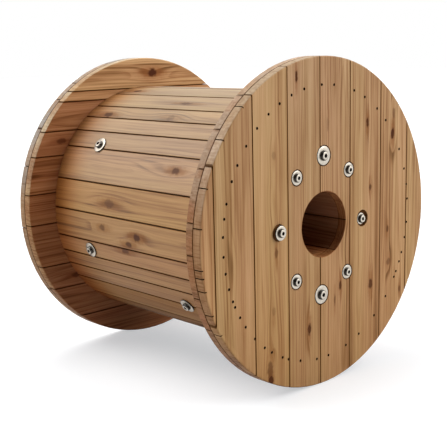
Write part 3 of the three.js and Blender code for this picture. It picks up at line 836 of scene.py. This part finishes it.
# ---- Tie bolts ----
# Eight zinc-plated steel bolts that clamp the two flanges on the barrel. Each has a socket head on a washer
# in a counterbore of the front flange, and a nut on a second washer at the back.


def plated_steel(name, tone, roughness, wear):
    """Steel with a dull coat that has a faint spangle and rubbed patches."""
    plate, tree, shader = new_material(name)
    place = add_node(tree, "ShaderNodeTexCoord").outputs["Object"]
    cloud = add_node(tree, "ShaderNodeTexNoise", {"Vector": place, "Scale": 90, "Detail": 4}).outputs["Fac"]
    scratches = add_node(tree, "ShaderNodeTexNoise", {"Vector": place, "Scale": 900}).outputs["Fac"]
    relief = add_node(tree, "ShaderNodeBump", {"Height": scratches, "Strength": 0.25, "Distance": 0.0002})
    rubbed = tuple(part * wear for part in tone)
    set_inputs(tree, shader, {
        "Metallic": 1,
        "Base Color": shade_ramp(tree, cloud, ((0.3, rubbed), (0.62, tone))),
        "Roughness": rescale(tree, cloud, 0, 1, roughness + 0.12, roughness - 0.05, "LINEAR"),
        "Normal": relief.outputs[0],
    })
    return plate


zinc = plated_steel("zinc_plate", (0.54, 0.49, 0.415), 0.3, 0.75)
dark_painted_zinc = plated_steel("dark_painted_zinc_plate", (0.075, 0.072, 0.066), 0.25, 0.6)
blacked = plated_steel("blacked_steel", (0.020, 0.017, 0.015), 0.5, 0.6)


def standing(name, vertices, radius, height, both_ends=False):
    """A cylinder standing on the origin, in edit mode, with its top selected, or both its ends."""
    piece = primitive(bpy.ops.mesh.primitive_cylinder_add, name, vertices=vertices, radius=radius,
                      depth=height, location=(0, 0, height / 2))
    bpy.ops.object.mode_set(mode="EDIT")
    bpy.ops.mesh.select_mode(type="FACE")
    bpy.ops.object.mode_set(mode="OBJECT")
    for face in piece.data.polygons:
        face.select = face.normal.z > 0.9 or (both_ends and face.normal.z < -0.9)
    bpy.ops.object.mode_set(mode="EDIT")
    return piece


def draw_up(rise, scale):
    """Draws the selected face upwards, and makes it larger or smaller."""
    bpy.ops.mesh.extrude_region_move(TRANSFORM_OT_translate={"value": (0, 0, rise)})
    bpy.ops.transform.resize(value=(scale, scale, 1), center_override=(0, 0, 0))


def washer(name, radius, bore, height):
    """A flat ring standing on the origin, turned about Z, with rounded edges. Its edge is painted dark, as
    painted shade round it.
    """
    piece = standing(name, 48, radius, height, both_ends=True)
    bpy.ops.mesh.inset(thickness=radius - bore)
    bpy.ops.mesh.bridge_edge_loops()
    bpy.ops.mesh.select_all(action="SELECT")
    bpy.ops.mesh.normals_make_consistent(inside=False)
    bpy.ops.object.mode_set(mode="OBJECT")
    rounding = 0.0007
    round_edges(piece, rounding, smooth=35)
    piece.data.materials.append(zinc)
    piece.data.materials.append(dark_painted_zinc)
    # Painted shade: the outer edge gets the dark zinc.
    for face in piece.data.polygons:
        face.material_index = int(math.hypot(face.center.x, face.center.y) > radius - rounding - 0.0002)
    return piece


def button_head(name, base, crown, height, socket):
    """A domed head with a hexagon socket, standing on the origin. Its flank is painted dark, as a painted
    dark reflection, and its socket black, as painted shade in the hole."""
    land = 0.0015
    steps = 6
    piece = standing(name, 40, base / 2, land)
    radius, level = base / 2, land
    for step in range(1, steps + 1):
        angle = step / steps * math.pi / 2
        next_radius = crown / 2 + (base - crown) / 2 * math.cos(angle)
        next_level = land + (height - land) * math.sin(angle)
        draw_up(next_level - level, next_radius / radius)
        radius, level = next_radius, next_level
    bpy.ops.object.mode_set(mode="OBJECT")
    hexagon = primitive(bpy.ops.mesh.primitive_cylinder_add, f"{name}_socket", vertices=6,
                        radius=socket / math.sqrt(3), depth=height * 1.2, location=(0, 0, height))
    take_up(piece)
    cut(piece, hexagon, smooth=35)
    bpy.data.objects.remove(hexagon)
    for metal in (zinc, dark_painted_zinc, blacked):
        piece.data.materials.append(metal)
    # Painted dark reflection on the flank, painted shade in the socket.
    for face in piece.data.polygons:
        if face.center.z < height - 0.0003:
            face.material_index = 1 if math.hypot(face.center.x, face.center.y) > crown / 2 else 2
    return piece


def hexagon_nut(name, flats, height):
    """A nut standing on the origin, with its corners taken off."""
    piece = standing(name, 6, flats / math.sqrt(3), height)
    bpy.ops.mesh.inset(thickness=flats * 0.04, depth=flats * 0.03)
    bpy.ops.object.mode_set(mode="OBJECT")
    round_edges(piece, 0.0008, smooth=35)
    piece.data.materials.append(zinc)
    return piece


def threaded_rod(name, radius, length, threads, pitch):
    """A rod standing on the origin. Its lower end is cut with threads."""
    root = 0.86  # of the rod's radius
    piece = standing(name, 24, radius * root, pitch / 4)
    level = pitch / 4
    for thread in range(threads):
        for rise, scale in ((pitch * 0.42, 1 / root), (pitch * 0.16, 1), (pitch * 0.42, root)):
            draw_up(rise, scale)
            level += rise
    draw_up(pitch, 1 / root)
    draw_up(length - level - pitch, 1)
    bpy.ops.object.mode_set(mode="OBJECT")
    bpy.ops.object.shade_smooth_by_angle(angle=math.radians(35))
    piece.data.materials.append(zinc)
    return piece


def fitted(pattern, name, place, stands_for=None):
    """A copy of a pattern piece with its own mesh, moved to its place on the drum."""
    piece = bpy.data.objects.new(name, pattern.data.copy())
    piece.data.name = name
    piece.data.transform(place)
    scene.collection.objects.link(piece)
    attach(piece, "root")
    if stands_for:
        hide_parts(stands_for)


# rod, washer across and thick, head across, crown across, head height, socket, nut flats, nut height, thread
# pitch, in metres. The bolts in the barrel are m12, and the right-hand tie bolt has a size of its own.
bolt_sizes = {
    "m20": (0.020, 0.058, 0.005, 0.031, 0.022, 0.0085, 0.012, 0.030, 0.016, 0.0025),
    "m16": (0.016, 0.044, 0.004, 0.027, 0.020, 0.0085, 0.0105, 0.024, 0.013, 0.002),
    "right": (0.012, 0.037, 0.004, 0.027, 0.020, 0.0085, 0.0105, 0.019, 0.010, 0.00175),
    "m12": (0.012, 0.050, 0.004, 0.027, 0.020, 0.009, 0.0105, 0.019, 0.010, 0.00175),
}
tie_rod_length = 0.94  # before it is drawn out to reach its head
barrel_seat = barrel_radius + 0.0003  # where the washers of the barrel bolts lie
barrel_head = barrel_seat + bolt_sizes["m12"][2]
barrel_rod_end = 0.2915
rod_play = 0.0002  # keeps a rod clear of its washers
threads = 9
patterns = {}
for size, (rod, across, thick, head, crown, height, socket, flats, nut_height, pitch) in bolt_sizes.items():
    length = barrel_head - barrel_rod_end if size == "m12" else tie_rod_length
    patterns[size] = {
        "washer": washer(f"{size}_washer", across / 2, rod / 2, thick),
        "head": button_head(f"{size}_head", head, crown, height, socket),
        "nut": hexagon_nut(f"{size}_nut", flats, nut_height),
        "rod": threaded_rod(f"{size}_rod", rod / 2 - rod_play, length, threads, pitch),
    }

# name, y and z from the drum's axis, size, and where the front washer's underside lies.
tie_bolts = (
    ("top", -0.001, 0.208, "m20", 0.4495),
    ("upper_right", 0.115, 0.154, "m16", 0.4505),
    ("right", 0.182, -0.0085, "right", 0.4453),
    ("lower_right", 0.108, -0.166, "m16", 0.4505),
    ("bottom", -0.012, -0.216, "m20", 0.4495),
    ("lower_left", -0.124, -0.155, "m16", 0.4505),
    ("left", -0.198, 0.004, "m16", 0.4605),
    ("upper_left", -0.119, 0.154, "m16", 0.4505),
)
# Where the back washers lie, and the back ends of the rods.
back_seats = {"m20": -0.4495, "m16": -0.4505, "right": -0.4453}
back_end = -0.473
forwards = Matrix.Rotation(math.pi / 2, 4, "Y")
backwards = Matrix.Rotation(-math.pi / 2, 4, "Y")
for number, (name, y, z, size, seat) in enumerate(tie_bolts):
    thick = bolt_sizes[size][2]
    pattern = patterns[size]
    drawn_out = Matrix.Diagonal(((seat + thick - back_end) / tie_rod_length, 1, 1, 1))
    spun = Matrix.Rotation(math.radians(17 * number), 4, "X")
    bolt = f"tie_bolt_{name}"
    for part, kind, x, turn in (
        ("head", "head", seat + thick, spun @ forwards),
        ("washer", "washer", seat, forwards),
        ("rod", "rod", back_end, drawn_out @ forwards),
        ("back_washer", "washer", back_seats[size], backwards),
        ("nut", "nut", back_seats[size] - thick, spun @ backwards),
    ):
        fitted(pattern[kind], f"{bolt}_{part}", Matrix.Translation((x, y, axis_height + z)) @ turn,
               bolt if part == "head" else None)


# ---- Barrel bolts ----
# Smaller bolts of the same kind that hold the staves down on the formers, three to each former. Their
# washers lie on the round of the barrel, and their nuts are inside.

# x, and degrees round the axis, counted as for the nails.
barrel_bolts = {
    "back": (-0.2147, (145.5, 196, 350)),
    "front": (0.1907, (216, 266.5, 420.5)),
}
barrel_nut = 0.3055
over = Matrix.Rotation(math.pi, 4, "X")
pattern = patterns["m12"]
for side, (x, angles) in barrel_bolts.items():
    for number, degrees in enumerate(angles, 1):
        round_axis = Matrix.Rotation(math.radians(degrees - 90), 4, "X")
        outwards = Matrix.Translation((x, 0, axis_height)) @ round_axis
        bolt = f"barrel_bolt_{side}_{number}"
        for part, out, turn in (
            ("head", barrel_head, Matrix()),
            ("washer", barrel_seat, Matrix()),
            ("rod", barrel_rod_end, Matrix()),
            ("nut", barrel_nut, over),
        ):
            fitted(pattern[part], f"{bolt}_{part}", outwards @ Matrix.Translation((0, 0, out)) @ turn,
                   bolt if part == "head" else None)

for pattern in patterns.values():
    for piece in pattern.values():
        bpy.data.objects.remove(piece)


# ---- Nails ----
# Steel nails driven through the upright boards into the level ones, their heads punched just under the face
# and gone dark.

head_thickness = 0.002
punched = 0.0038  # how far under the face a head lies
for side, outside in facing.items():
    places = nail_places(side, outside * (outer_face - punched - head_thickness / 2))
    heads = repeated(
        bpy.ops.mesh.primitive_cone_add, f"{side}_nails", places, vertices=12, radius1=0.0038, radius2=0.0030,
        depth=head_thickness, rotation=(0, outside * math.pi / 2, 0),
    )
    bpy.ops.object.mode_set(mode="OBJECT")
    heads.data.materials.append(blacked)
    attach(heads, "root")
